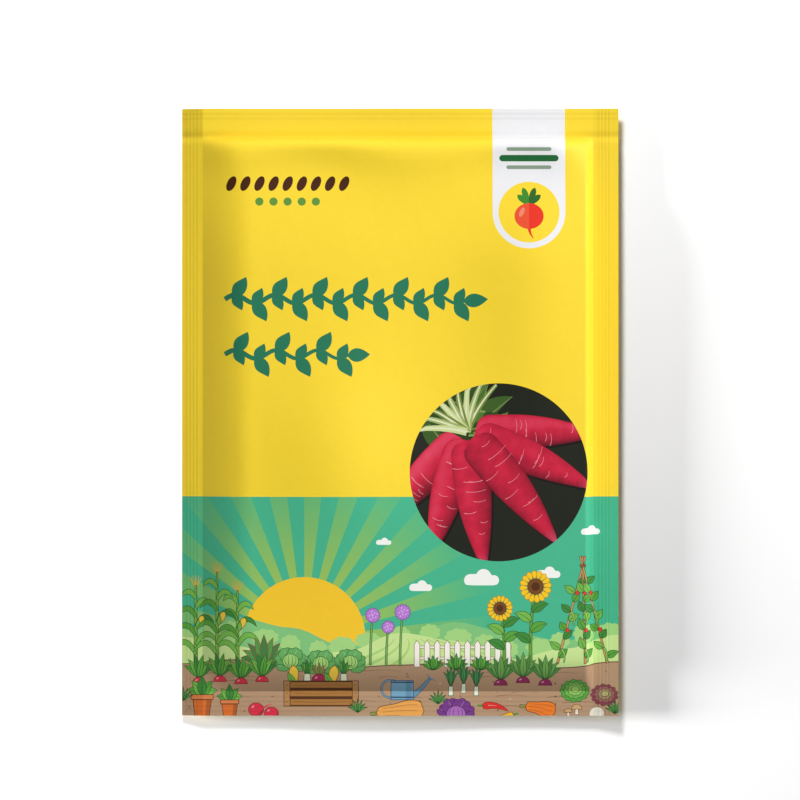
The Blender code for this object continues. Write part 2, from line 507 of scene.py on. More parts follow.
def crop(art, foot, size, colour, edge, count=6, greens=leaf_greens):
    """A root half out of the soil, with its leaves."""
    tuft(art, foot + 0.75j * size, count, 3.6 * size, 0.95 * size, 52, greens)
    shoulder = [foot + complex(0.95 * size * math.cos(a), 0.95 * size * math.sin(a))
                for a in (math.pi * k / 12 for k in range(13))]
    art.drawn(shoulder, colour, edge, 0.11)
    art.ink(oval(foot + complex(-0.35, 0.5) * size, 0.2 * size, 0.1 * size, 35, 8), mixed(colour, white_ink, 0.6))


def maize(art, foot, height):
    """A maize plant: a straight stalk with arching leaves on both sides, a cob and a tassel."""
    top = foot + height * 1j
    for k in range(5):
        art.ink(line([top - 0.6j, top + polar(1.9, 54 + 18 * k)], 0.26, 0.12), (206, 178, 84))
    art.drawn(line([foot, foot + 0.5j * height, top], 0.85, 0.4), (136, 184, 72), green_line, 0.1)
    for k in range(7):
        side = 1 if k % 2 else -1
        start = foot + height * (0.1 + 0.12 * k) * 1j
        reach = 4.6 - 0.3 * k
        rib = bow(start, start + complex(side * reach * 0.45, reach * 0.95), start + complex(side * reach, reach * 0.1))
        blade = strip(rib, lambda s: 1.15 * max(math.sin(math.pi * min(0.12 + 0.88 * s, 1.0)), 0.0) ** 0.7)
        art.drawn(blade, leaf_greens[k % 2 + (k % 3 == 0)], green_line, 0.1)
    cob = foot + complex(0.3, 0.42 * height)
    art.drawn(petal(cob, cob + polar(3.0, 68), 1.3), (246, 206, 70), brown_line, 0.1)
    art.drawn(leaf(cob, cob + polar(2.2, 84), 0.9), leaf_greens[1], green_line, 0.1)


def sunflower(art, foot, height, lean, radius):
    """A sunflower with its leaves."""
    head = foot + complex(lean, height)
    stalk = bow(foot, foot + complex(-0.3 * lean, 0.6 * height), head)
    art.drawn(line(stalk, 0.75, 0.5), (108, 164, 60), green_line, 0.1)
    for k in (2, 3, 4, 5):
        side = 1 if k % 2 else -1
        veined(art, stalk[k], stalk[k] + polar(3.6, 90 - 62 * side), 1.9, leaf_greens[k % 3], sag=0.12 * side)
    for k in range(16):
        way = 22.5 * k + 6
        art.drawn(petal(head + polar(radius * 0.4, way), head + polar(radius, way), radius * 0.36),
                  (252, 204, 38), (160, 100, 20), 0.08)
    art.drawn(oval(head, radius * 0.5), (122, 74, 32), (66, 36, 14), 0.1)
    art.ink(oval(head, radius * 0.26, steps=14), (84, 48, 20))


def wigwam(art, foot, spread, height):
    """Beans that climb three canes tied together near the top."""
    peak = foot + height * 1j
    for side in (-1.0, 0.1, 1.0):
        base = foot + side * spread
        art.drawn(line([base, peak + (peak - base) * 0.1], 0.55, 0.4), (204, 160, 98), brown_line, 0.09)
        for k in range(9):
            centre = base + (peak - base) * (0.06 + 0.095 * k)
            way = garden_draw.uniform(20, 70) * (1 if k % 2 else -1) + 90
            tip = centre + polar(garden_draw.uniform(2.0, 2.7), way)
            veined(art, centre, tip, 1.5, leaf_greens[k % 3], sag=0.05)
            if k % 4 == 1:
                pod = bow(centre, centre + complex(0.9, -0.8), centre + complex(0.5, -2.6))
                art.drawn(line(pod, 0.5, 0.3), (150, 200, 88), green_line, 0.08)
            if k % 4 == 3:
                art.drawn(oval(centre + 0.3, 0.42, steps=10), (226, 64, 52), red_line, 0.08)
    art.drawn(block(peak.real - 0.6, peak.imag - 0.25, peak.real + 0.6, peak.imag + 0.3), (150, 96, 52), brown_line, 0.09)


def cabbage(art, centre, size, outer, inner, edge=green_line):
    """A round head in its wavy outer leaves."""
    for way in (205, -25, 160, 20, 120, 60):
        middle = centre + polar(0.6 * size, way)
        art.drawn(frilled(middle, 0.66 * size, 0.56 * size, 7, 0.14), outer, edge, 0.1)
        art.ink(line([centre, middle + polar(0.4 * size, way)], 0.16, 0.06), mixed(outer, white_ink, 0.45))
    art.drawn(oval(centre + 0.04j * size, 0.62 * size, 0.56 * size), inner, edge, 0.1)
    for bend in (-0.75, -0.3, 0.25, 0.7):
        fold = bow(centre - 0.5j * size, centre + bend * size, centre + complex(0.3 * bend, 0.52) * size)
        art.ink(line(fold[1:], 0.12, 0.06), edge)


def lettuce(art, centre, size, outer, inner):
    """An open head of frilled leaves in rings."""
    for share, frills in ((1.0, 13), (0.76, 11), (0.52, 9), (0.3, 7)):
        tone = mixed(inner, outer, share)
        ring = frilled(centre + complex(0.05, 0.12) * size * (1 - share), share * size, 0.8 * share * size, frills, 0.13)
        art.drawn(ring, tone, green_line, 0.1)


def allium(art, foot, height, radius):
    """A purple ball of tiny flowers on a bare stem."""
    head = foot + complex(0.05 * height, height)
    art.drawn(line(bow(foot, foot + 0.5j * height, head), 0.5, 0.4), (128, 178, 92), green_line, 0.1)
    art.drawn(frilled(head, radius, radius, 13, 0.16), (190, 126, 216), (106, 58, 132), 0.1)
    for k in range(9):
        spot = head + polar(radius * 0.62 * math.sqrt(k / 9), 137.5 * k)
        art.ink(oval(spot, 0.16, steps=6), (226, 182, 240))


def picket(art, foot, wide, high):
    """One pointed pale of a fence."""
    outline = [foot - wide / 2, foot + wide / 2, foot + complex(wide / 2, 0.84 * high), foot + 1j * high,
               foot + complex(-wide / 2, 0.84 * high)]
    art.drawn(outline, (250, 246, 232), (140, 120, 96), 0.11)


def crate(art, left, bottom, wide, high):
    """A slatted wooden box."""
    wood = (176, 122, 62)
    art.drawn(block(left, bottom, left + wide, bottom + high), (92, 56, 26), brown_line)
    for k in range(3):
        level = bottom + high * (0.03 + 0.33 * k)
        art.drawn(block(left, level, left + wide, level + 0.27 * high), wood, brown_line)
        grain = [complex(left + wide * s, level + 0.13 * high + 0.1 * math.sin(9 * s + k)) for s in (0.14, 0.3, 0.5, 0.7, 0.88)]
        art.ink(line(grain, 0.08, 0.05), mixed(wood, brown_line, 0.6))
    for post in (left, left + 0.91 * wide):
        art.drawn(block(post, bottom, post + 0.09 * wide, bottom + high), mixed(wood, white_ink, 0.12), brown_line)
        for k in range(3):
            art.ink(oval(complex(post + 0.045 * wide, bottom + high * (0.17 + 0.33 * k)), 0.12, steps=6), brown_line)


def pot(art, foot, size):
    """A clay pot with a seedling."""
    tuft(art, foot + 0.9j * size, 5, 0.95 * size, 0.42 * size, 68)
    clay = (226, 116, 50)
    body = [foot + complex(x, y) * size for x, y in ((-0.32, 0), (0.32, 0), (0.43, 0.78), (-0.43, 0.78))]
    art.drawn(body, clay, brown_line)
    shade = [foot + complex(x, y) * size for x, y in ((0.14, 0.04), (0.29, 0.04), (0.39, 0.74), (0.19, 0.74))]
    art.ink(shade, mixed(clay, brown_line, 0.3))
    rim = [foot + complex(x, y) * size for x, y in ((-0.5, 0.76), (0.5, 0.76), (0.5, 1.0), (-0.5, 1.0))]
    art.drawn(rim, mixed(clay, white_ink, 0.15), brown_line)


def squash(art, stem_end, flower_end, width, colour):
    """A pear-shaped squash lying on its side, with a stub of stem."""
    path = bow(stem_end, (stem_end + flower_end) / 2 + 0.5j, flower_end, 14)
    stub = unit(path[0] - path[1])
    art.drawn(line([path[0] - stub * 0.3, path[0] + stub * 1.0], 0.6, 0.8), (150, 150, 74), green_line, 0.1)

    def girth(s):
        round_ends = math.sqrt(max(1 - (2 * s - 1) ** 6, 0.0))
        return width * round_ends * (0.62 + 0.38 / (1 + math.exp(-14 * (s - 0.52))))

    art.drawn(strip(path, girth), colour, brown_line, 0.12)
    for side in (-0.26, 0.02, 0.28):
        ridge = [p + unit(path[min(k + 2, 14)] - path[k]) * 1j * side * girth(k / 14)
                 for k, p in enumerate(path) if 1 < k < 13]
        art.ink(line(ridge, 0.09, 0.09), mixed(colour, brown_line, 0.45))


def pepper_pod(art, stem_end, tip, width, colour):
    """A long pointed pepper."""
    rib = leaf_rib(stem_end, tip, 0.12, 10)
    art.ink(line([stem_end + unit(stem_end - tip) * 1.0, rib[1]], 0.3, 0.5), (80, 146, 60))
    art.drawn(strip(rib, lambda s: width * (1 - s**1.7) ** 0.8 * min(1.0, 0.55 + 4 * s)), colour, red_line, 0.1)
    art.ink(line(rib[2:6], 0.14, 0.05), mixed(colour, white_ink, 0.6))


def mushroom(art, foot, size):
    """A pale mushroom with a domed cap."""
    art.drawn([foot + complex(x, y) * size for x, y in ((-0.22, 0), (0.22, 0), (0.17, 0.6), (-0.17, 0.6))],
              (244, 232, 208), brown_line, 0.09)
    art.drawn(arc(foot + 0.55j * size, 0.55 * size, 0, 180, 10), (214, 172, 122), brown_line, 0.1)


def watering_can(art, foot, size):
    """A sheet-metal watering can seen from the side."""
    metal = (120, 168, 196)
    edge = (44, 78, 104)
    handle = arc(foot + complex(-0.62, 0.62) * size, 0.5 * size, 60, 300, 14)
    art.drawn(line(handle, 0.42), metal, edge, 0.1)
    spout = [foot + complex(0.55, 0.22) * size, foot + complex(1.0, 0.6) * size, foot + complex(1.5, 1.2) * size]
    art.drawn(line(spout, 0.34 * size, 0.16 * size), mixed(metal, edge, 0.2), edge, 0.1)
    nose = foot + complex(1.56, 1.26) * size
    art.drawn([nose + polar(0.34 * size, 140), nose + polar(0.34 * size, -40), nose + polar(0.1 * size, 230)], metal, edge, 0.1)
    art.drawn(block(foot.real - 0.62 * size, foot.imag, foot.real + 0.62 * size, foot.imag + 1.1 * size), metal, edge)
    art.ink(block(foot.real + 0.2 * size, foot.imag + 0.13, foot.real + 0.5 * size, foot.imag + 1.06 * size), mixed(metal, edge, 0.22))
    for level in (0.12, 0.95):
        art.ink(block(foot.real - 0.62 * size, foot.imag + level * size, foot.real + 0.62 * size,
                      foot.imag + (level + 0.07) * size), edge)


for spot, size in ((complex(4.0, -33.0), 1.5), (complex(15.5, -31.6), 2.3), (complex(28.0, -30.5), 1.6),
                   (complex(36.0, -22.5), 1.3), (complex(-3.0, -24.5), 1.0)):
    cloud(front, spot, size)
hill(front, (-41, -38.5, -40.5, -44, -42.5, -39.5, -41.5, -43, -40), (132, 200, 128))
for k in range(17):
    spot = complex(-41 + 5.1 * k + garden_draw.uniform(-1, 1), -43.0 + 1.6 * math.sin(0.9 * k))
    front.ink(frilled(spot, garden_draw.uniform(1.8, 2.8), garden_draw.uniform(1.5, 2.3), 9, 0.15), (168, 218, 132))
hill(front, (-42.5, -44, -46.5, -45, -41.5, -43, -46.5, -44.5, -42), (206, 234, 152))
for k in range(8):
    front.ink(line(bow(complex(-12 + 5 * k, -48), complex(-2 + 2.4 * k, -45), complex(-1 + 1.2 * k, -42.6)), 0.7, 0.15),
              (176, 216, 124))
hill(front, (-47.5, -46.5, -47, -48, -47.5, -47, -48.5, -48, -47), (118, 80, 58))
hill(front, (-47.7, -46.7, -47.2, -48.2, -47.7, -47.2, -48.7, -48.2, -47.2), (186, 151, 119))
for k in range(26):
    start = complex(garden_draw.uniform(-41, 34), garden_draw.uniform(-56.5, -48.8))
    reach = garden_draw.uniform(3, 8)
    front.ink(line(bow(start, start + complex(reach / 2, 0.5), start + reach), 0.14, 0.06), (150, 112, 84))
for k in range(40):
    spot = complex(garden_draw.uniform(-40, 40), garden_draw.uniform(-56.5, -48.8))
    front.ink(oval(spot, garden_draw.uniform(0.12, 0.3), garden_draw.uniform(0.1, 0.2), steps=7),
              garden_draw.choice(((150, 112, 84), (212, 184, 156), (128, 92, 68))))

for foot, height in ((-38.6 - 47.2j, 14.5), (-30.6 - 47.0j, 13.5), (-34.5 - 47.6j, 17.5)):
    maize(front, foot, height)
tuft(front, -25.6 - 47.9j, 9, 6.2, 1.7, 70, ((58, 132, 66), (82, 156, 74)), (150, 34, 60))
for foot in (-20.6 - 46.9j, -14.9 - 47.4j, -9.4 - 47.2j):
    cabbage(front, foot, 2.5, (104, 176, 96), (168, 216, 120))
for foot, height, radius in ((-5.6 - 47.6j, 9.4, 1.5), (-2.6 - 47.8j, 7.4, 1.3), (0.0 - 47.8j, 10.2, 1.6)):
    allium(front, foot, height, radius)
for level in (1.4, 3.5):
    front.drawn(block(2.6, -48.0 + level, 21.0, -47.4 + level), (240, 234, 216), (140, 120, 96), 0.1)
for k in range(10):
    picket(front, complex(3.2 + 1.9 * k, -48.0), 1.15, 5.2)
sunflower(front, 19.6 - 47.9j, 11.0, -0.8, 2.5)
sunflower(front, 24.6 - 47.8j, 15.0, 0.9, 3.1)
wigwam(front, 34.4 - 47.4j, 4.8, 18.5)
for x, height in ((6.2, 3.0), (10.6, 3.4), (15.2, 3.1)):
    tuft(front, complex(x, -48.6), 7, height, 1.0, 62)

for k, x in enumerate((-38.0, -34.0, -30.0, -26.0)):
    crop(front, complex(x, -51.3 + 0.4 * (k % 2)), 1.35, (222, 52, 74), red_line)
for k in range(5):
    foot = complex(-19.8 + 2.3 * k, -50.6)
    colour = ((246, 206, 70), (232, 238, 206), (176, 46, 84))[k % 3]
    if k % 3 == 0:
        front.drawn(petal(foot - 1.5j, foot + polar(3.1, 96 - 6 * k), 1.9), colour, brown_line, 0.11)
        veined(front, foot - 1.2j, foot + polar(2.2, 128), 1.3, leaf_greens[1])
    elif k % 3 == 1:
        tuft(front, foot + 1.0j, 5, 3.2, 0.8, 34)
        front.drawn(line([foot - 1.2j, foot + 1.4j], 1.5, 1.2), colour, green_line, 0.11)
    else:
        tuft(front, foot + 0.8j, 5, 2.8, 0.8, 46, ((96, 150, 70), (128, 176, 84)), (150, 34, 60))
        ball(front, foot, 1.5, 1.35, colour, (88, 18, 46))
crate(front, -22.0, -55.6, 14.2, 5.0)
watering_can(front, 0.4 - 54.4j, 3.5)
for k, x in enumerate((9.6, 12.0, 14.4)):
    foot = complex(x, -53.6 + 0.5 * (k % 2))
    tuft(front, foot + 1.6j, 5, 4.4, 0.8, 26, ((84, 152, 88), (60, 128, 78)))
    front.drawn(line([foot, foot + 1.9j], 1.0, 0.85), (236, 242, 220), green_line, 0.1)
for k, x in enumerate((19.0, 23.2, 27.4)):
    crop(front, complex(x, -51.6 + 0.5 * (k % 2)), 1.4, (150, 44, 92), (80, 16, 46), 7, ((86, 146, 70), (116, 170, 84)))
lettuce(front, 33.0 - 52.6j, 2.9, (92, 168, 66), (206, 234, 136))
lettuce(front, 38.6 - 53.4j, 2.7, (150, 62, 84), (198, 222, 130))

pot(front, -37.4 - 57.6j, 4.3)
pot(front, -32.2 - 57.9j, 3.6)
ball(front, -27.2 - 56.2j, 1.5, 1.35, (222, 52, 74), red_line)
ball(front, -24.3 - 56.9j, 1.4, 1.25, (222, 52, 74), red_line)
front.ink(line(bow(-25.9 - 56.0j, -25.0 - 55.2j, -24.2 - 55.2j), 0.3, 0.08), (222, 52, 74))
squash(front, -4.6 - 56.9j, 4.6 - 56.5j, 4.3, (240, 170, 84))
cabbage(front, 10.6 - 57.2j, 3.0, (122, 60, 140), (176, 110, 190), (70, 28, 86))
pepper_pod(front, 15.6 - 55.6j, 20.6 - 56.6j, 1.5, (226, 50, 40))
pepper_pod(front, 21.4 - 57.0j, 16.6 - 57.4j, 1.4, (250, 190, 40))
squash(front, 23.6 - 55.6j, 29.4 - 56.8j, 3.4, (244, 128, 42))
mushroom(front, 33.4 - 57.2j, 1.9)
mushroom(front, 31.8 - 57.6j, 1.5)
ball(front, 37.2 - 57.0j, 1.5, 1.4, (240, 234, 214), (150, 130, 110))
for foot in (-41.0 - 54.6j, 7.2 - 55.2j, 40.6 - 57.0j, -8.0 - 56.8j):
    tuft(front, foot, 7, 2.9, 0.5, 62, ((120, 184, 88), (92, 160, 78)))


# Form of the packet: the flat webs are welded along their edges by ribbed hot bars, and what is
# inside pushes them apart. Heights are worked out in millimetres for every point of a web.
film_thickness = 0.12
side_seal = 4.6
left_seal = 4.05
top_seal = 5.3
bottom_seal = 4.7
back_standoff = 2.2


class Field:
    """A number at every point of a mesh or surface. Arithmetic on it adds Math nodes to its tree."""

    def __init__(self, tree, socket):
        self.tree = tree
        self.socket = socket

    def math(self, operation, *others):
        node = self.tree.nodes.new("ShaderNodeMath")
        node.operation = operation
        for place, value in enumerate((self, *others)):
            if isinstance(value, Field):
                self.tree.links.new(value.socket, node.inputs[place])
            else:
                node.inputs[place].default_value = value
        return Field(self.tree, node.outputs[0])

    def __add__(self, other):
        return self.math("ADD", other)

    def __sub__(self, other):
        return self.math("SUBTRACT", other)

    def __mul__(self, other):
        return self.math("MULTIPLY", other)

    def __truediv__(self, other):
        return self.math("DIVIDE", other)

    def __neg__(self):
        return self.math("MULTIPLY", -1.0)

    def over(self, low):
        return self.math("MAXIMUM", low)

    def under(self, high):
        return self.math("MINIMUM", high)

    def sine(self):
        return self.math("SINE")

    def bell(self):
        """1 where this field is 0, and falling away on both sides."""
        return (-(self * self)).math("EXPONENT")


def put(tree, kind, inputs=None, **settings):
    """Adds a node. Its inputs are given as fields, sockets or plain values."""
    node = tree.nodes.new(kind)
    for name, value in settings.items():
        setattr(node, name, value)
    for name, value in (inputs or {}).items():
        value = getattr(value, "socket", value)
        if isinstance(value, bpy.types.NodeSocket):
            tree.links.new(value, node.inputs[name])
        else:
            node.inputs[name].default_value = value
    return node


def node_group(name, inputs, outputs):
    """A geometry node group with named inputs and outputs: its tree, input fields and exit."""
    tree = bpy.data.node_groups.new(name, "GeometryNodeTree")
    for title, kind, value in inputs:
        socket = tree.interface.new_socket(title, in_out="INPUT", socket_type=kind)
        if value is not None:
            socket.default_value = value
    for title, kind in outputs:
        tree.interface.new_socket(title, in_out="OUTPUT", socket_type=kind)
    entry = tree.nodes.new("NodeGroupInput")
    fields = {title: Field(tree, entry.outputs[title]) for title, kind, value in inputs}
    return tree, fields, tree.nodes.new("NodeGroupOutput")


size_inputs = [
    (title, "NodeSocketFloat", value)
    for title, value in (
        ("Width", 2 * half_wide),
        ("Height", 2 * half_high),
        ("Left Seal", left_seal),
        ("Right Seal", side_seal),
        ("Top Seal", top_seal),
        ("Bottom Seal", bottom_seal),
        ("Seal Plane", film_thickness + back_standoff),
        ("Rib Height", 0.03),
        ("Left Droop", 0.29),
        ("Right Lift", 0.12),
        ("Groove", 0.3),
        ("Facing", 1.0),
        ("Standoff", 3.6),
        ("Left Reach", 9.5),
        ("Right Reach", 9.5),
        ("Top Reach", 13.0),
        ("Bottom Reach", 13.0),
        ("Lip", 0.0),
        ("Swell", 0.0),
    )
]
height_tree, size, height_exit = node_group(
    "web height",
    [("X", "NodeSocketFloat", 0.0), ("Y", "NodeSocketFloat", 0.0)] + size_inputs,
    [("Z", "NodeSocketFloat"), ("Rib", "NodeSocketFloat")],
)


def ribs(from_edge, margin, count, pitch):
    """Round ribs that start at a margin in from a cut edge, from 0 to 1."""
    turns = (from_edge - margin) / pitch
    ribbed = turns.math("GREATER_THAN", 0.0) * turns.math("LESS_THAN", float(count))
    return ((turns * math.tau - math.pi / 2).sine() * 0.5 + 0.5) * ribbed


def rise(inside, reach):
    """0 at a seal and 1 from the reach inwards. It starts out straight, as a web pulled taut does."""
    share = (inside / reach).over(0.0).under(1.0)
    return share * 1.5 - share * share * share * 0.5


def swell(x, y, across, along):
    """A broad rounded rise round a point, 1 high."""
    return ((size["X"] - x) / across).bell() * ((size["Y"] - y) / along).bell()


left_in = size["X"] + size["Width"] * 0.5 - size["Left Seal"]
right_in = -size["X"] + size["Width"] * 0.5 - size["Right Seal"]
top_in = -size["Y"] + size["Height"] * 0.5 - size["Top Seal"]
bottom_in = size["Y"] + size["Height"] * 0.5 - size["Bottom Seal"]
rib_sum = ribs(left_in + size["Left Seal"], 0.75, 4, 0.65) + ribs(right_in + size["Right Seal"], 1.3, 4, 0.65)
rib_sum = rib_sum + ribs(top_in + size["Top Seal"], 0.4, 2, 0.9)
rib_sum = rib_sum + ribs(bottom_in + size["Bottom Seal"], 0.6, 4, 0.9)

past_left, past_right, past_top, past_bottom = [(-side).over(0.0) for side in (left_in, right_in, top_in, bottom_in)]
seal = size["Seal Plane"] - past_left * size["Left Droop"] + past_right * size["Right Lift"] + past_top * 0.03
seal = seal + (size["X"] * 0.13 + 0.6).sine() * past_top * 0.04
seal = seal + (size["X"] * 0.11 + 2.0).sine() * past_bottom * 0.05
seal = seal + (size["Y"] * 0.09).sine() * (past_left + past_right) * 0.03
seal = seal - (top_in / 0.75).bell() * size["Groove"] + rib_sum * size["Rib Height"]

pocket = rise(left_in, size["Left Reach"]) * rise(right_in, size["Right Reach"])
pocket = pocket * rise(top_in, size["Top Reach"]) * rise(bottom_in, size["Bottom Reach"])
lip_distance = (size["X"] * 0.16 + 0.8).sine() * 0.5 + 2.2
lip_turns = top_in.over(0.0) / lip_distance
lip = lip_turns * (-lip_turns + 1.0).math("EXPONENT") * rise(left_in, 7.0) * rise(right_in, 9.0)
swells = swell(25.5, 22.0, 9.0, 26.0) * 0.8 + swell(-12.0, -9.0, 12.0, 17.0) * 1.8
swells = swells - swell(8.0, 18.0, 15.0, 26.0) * 0.8 + swell(-29.4, -7.0, 1.6, 9.0) * 0.08
lift = size["Standoff"] * pocket + size["Lip"] * lip + size["Swell"] * swells * pocket
height_tree.links.new((seal + size["Facing"] * lift).socket, height_exit.inputs["Z"])
height_tree.links.new(rib_sum.socket, height_exit.inputs["Rib"])

form_tree, form, form_exit = node_group(
    "form web",
    [("Web", "NodeSocketGeometry", None)] + size_inputs + [("Film", "NodeSocketMaterial", None)],
    [("Web", "NodeSocketGeometry")],
)


def height_at(x_field, y_field):
    """The height group at a point, with all its sizes passed on."""
    places = {"X": x_field, "Y": y_field}
    places.update({title: form[title] for title, kind, value in size_inputs})
    group = form_tree.nodes.new("GeometryNodeGroup")
    group.node_tree = height_tree
    for title, field in places.items():
        form_tree.links.new(field.socket, group.inputs[title])
    return Field(form_tree, group.outputs["Z"]), group.outputs["Rib"]


position = put(form_tree, "ShaderNodeSeparateXYZ", {0: put(form_tree, "GeometryNodeInputPosition").outputs[0]})
x_here = Field(form_tree, position.outputs["X"]) * 1000.0
y_here = Field(form_tree, position.outputs["Y"]) * 1000.0
probe_step = 0.04
z_here, rib_here = height_at(x_here, y_here)
x_slope = (height_at(x_here + probe_step, y_here)[0] - z_here) / probe_step
y_slope = (height_at(x_here, y_here + probe_step)[0] - z_here) / probe_step

rib_note = put(form_tree, "GeometryNodeStoreNamedAttribute",
               {"Geometry": form["Web"], "Name": "rib", "Value": rib_here}, domain="POINT", data_type="FLOAT")
lifted = put(form_tree, "ShaderNodeCombineXYZ", {"Z": z_here * 0.001})
shift = put(form_tree, "GeometryNodeSetPosition", {"Geometry": rib_note.outputs[0], "Offset": lifted.outputs[0]})
web_normal = put(form_tree, "ShaderNodeCombineXYZ",
                 {"X": -x_slope * form["Facing"], "Y": -y_slope * form["Facing"], "Z": form["Facing"]})
face_normal = put(form_tree, "GeometryNodeFieldOnDomain", domain="FACE", data_type="FLOAT_VECTOR")
form_tree.links.new(put(form_tree, "GeometryNodeInputNormal").outputs[0], face_normal.inputs[0])
printed_side = put(form_tree, "GeometryNodeInputNamedAttribute", {"Name": "printed side"}, data_type="BOOLEAN")
choice = put(form_tree, "GeometryNodeSwitch", input_type="VECTOR")
form_tree.links.new(printed_side.outputs["Attribute"], choice.inputs["Switch"])
form_tree.links.new(face_normal.outputs[0], choice.inputs["False"])
form_tree.links.new(web_normal.outputs[0], choice.inputs["True"])
smooth = put(form_tree, "GeometryNodeSetMeshNormal", mode="FREE", domain="CORNER")
form_tree.links.new(shift.outputs[0], smooth.inputs["Mesh"])
form_tree.links.new(choice.outputs[0], smooth.inputs["Custom Normal"])
real = put(form_tree, "GeometryNodeRealizeInstances", {"Geometry": smooth.outputs[0]})
coat = put(form_tree, "GeometryNodeSetMaterial", {"Geometry": real.outputs[0], "Material": form["Film"]})
form_tree.links.new(coat.outputs[0], form_exit.inputs["Web"])


# Printed film: a satin laminate whose colour is the print. The ribs are painted a little darker,
# as painted shade, and the film is never quite smooth.
def printed_film(name):
    """The laminate's material. It reads the print and the ribs from the mesh, and paints shade on the ribs."""
    material = bpy.data.materials.new(name)
    material.use_nodes = True
    tree = material.node_tree
    shader = tree.nodes["Principled BSDF"]
    shader.inputs["Specular IOR Level"].default_value = 0.2
    place = put(tree, "ShaderNodeTexCoord").outputs["Object"]
    print_colour = put(tree, "ShaderNodeAttribute", attribute_name="ink")
    rib = put(tree, "ShaderNodeAttribute", attribute_name="rib")
    grain = put(tree, "ShaderNodeTexNoise", {"Vector": place, "Scale": 900.0, "Detail": 3.0})
    waves = put(tree, "ShaderNodeTexNoise", {"Vector": place, "Scale": 160.0, "Detail": 2.0})
    scuffs = put(tree, "ShaderNodeTexNoise", {"Vector": place, "Scale": 60.0, "Detail": 6.0, "Distortion": 1.5})
    # Painted shade darkens the ribs, and a fine grain darkens the film at random.
    rib_shade_and_grain = Field(tree, rib.outputs["Fac"]) * 0.07 + Field(tree, grain.outputs["Fac"]) * 0.05
    shade = put(tree, "ShaderNodeMix", {"Factor": rib_shade_and_grain, "B": (0.0, 0.0, 0.0, 1.0)}, data_type="RGBA", blend_type="MULTIPLY")
    tree.links.new(print_colour.outputs["Color"], shade.inputs["A"])
    tree.links.new(shade.outputs["Result"], shader.inputs["Base Color"])
    rough = Field(tree, scuffs.outputs["Fac"]) * 0.16 + 0.45
    tree.links.new(rough.socket, shader.inputs["Roughness"])
    bump = put(tree, "ShaderNodeBump", {"Height": waves.outputs["Fac"], "Strength": 0.06, "Distance": 0.001})
    tree.links.new(bump.outputs["Normal"], shader.inputs["Normal"])
    return material


laminate_ink = (214, 216, 218)
weld_merge = 0.0005
open_step = 1.6


def spaced(start, stop, step):
    """Numbers from start to stop at about a step."""
    count = max(round((stop - start) / step), 1)
    return [start + (stop - start) * k / count for k in range(count + 1)]


def web_lines(half, low_seal, high_seal, seal_step):
    """Mesh lines along one direction of a web, close together in its seals and near them."""
    near = 3.2
    inner_low, inner_high = -half + low_seal, half - high_seal
    lines = spaced(-half, inner_low, seal_step)[:-1] + spaced(inner_low, inner_low + near, 0.32)[:-1]
    lines += spaced(inner_low + near, inner_high - near, open_step)[:-1]
    return lines + spaced(inner_high - near, inner_high, 0.32)[:-1] + spaced(inner_high, half, seal_step)


def linear(value):
    """A colour value out of 255 as a share of light."""
    share = value / 255
    return share / 12.92 if share <= 0.04045 else ((share + 0.055) / 1.055) ** 2.4


def within(outline, places):
    """Which of the places lie inside an outline, by its turns round each of them."""
    turns = np.zeros(len(places), int)
    for here, after in zip(outline, outline[1:] + outline[:1]):
        side = (after - here).conjugate() * (places - here)
        turns += (here.imag <= places.imag) & (after.imag > places.imag) & (side.imag > 0)
        turns -= (here.imag > places.imag) & (after.imag <= places.imag) & (side.imag < 0)
    return turns != 0


def top_inks(art, places):
    """The number of the last ink printed at each place."""
    owners = np.zeros(len(places), int)
    for number, (outline, colour) in enumerate(art.inks):
        across = [p.real for p in outline]
        along = [p.imag for p in outline]
        near = (places.real > min(across)) & (places.real < max(across))
        near &= (places.imag > min(along)) & (places.imag < max(along))
        spots = np.flatnonzero(near)
        owners[spots[within(outline, places[spots])]] = number
    return owners


def web_net(art):
    """Points and edges of a flat web: its mesh lines, the points of its fine spots, and its inks."""
    columns = web_lines(half_wide, left_seal, side_seal, 0.163)
    rows = web_lines(half_high, bottom_seal, top_seal, 0.18)
    points = [Vector((x, y)) for x in columns for y in rows]
    tall = len(rows)
    edges = [(k, k + 1) for k in range(len(points)) if (k + 1) % tall]
    edges += [(k, k + tall) for k in range(len(points) - tall)]
    for centre, radius, step in art.fine_spots:
        for x in spaced(-radius, radius, step):
            for y in spaced(-radius, radius, step):
                if math.hypot(x, y) < radius:
                    points.append(Vector((centre.real + x, centre.imag + y + 0.37 * step * math.sin(9 * x))))
    for outline, colour in art.inks[1:]:
        first = len(points)
        points += [Vector((p.real, p.imag)) for p in outline]
        edges += [(first + k, first + (k + 1) % len(outline)) for k in range(len(outline))]
    return points, edges


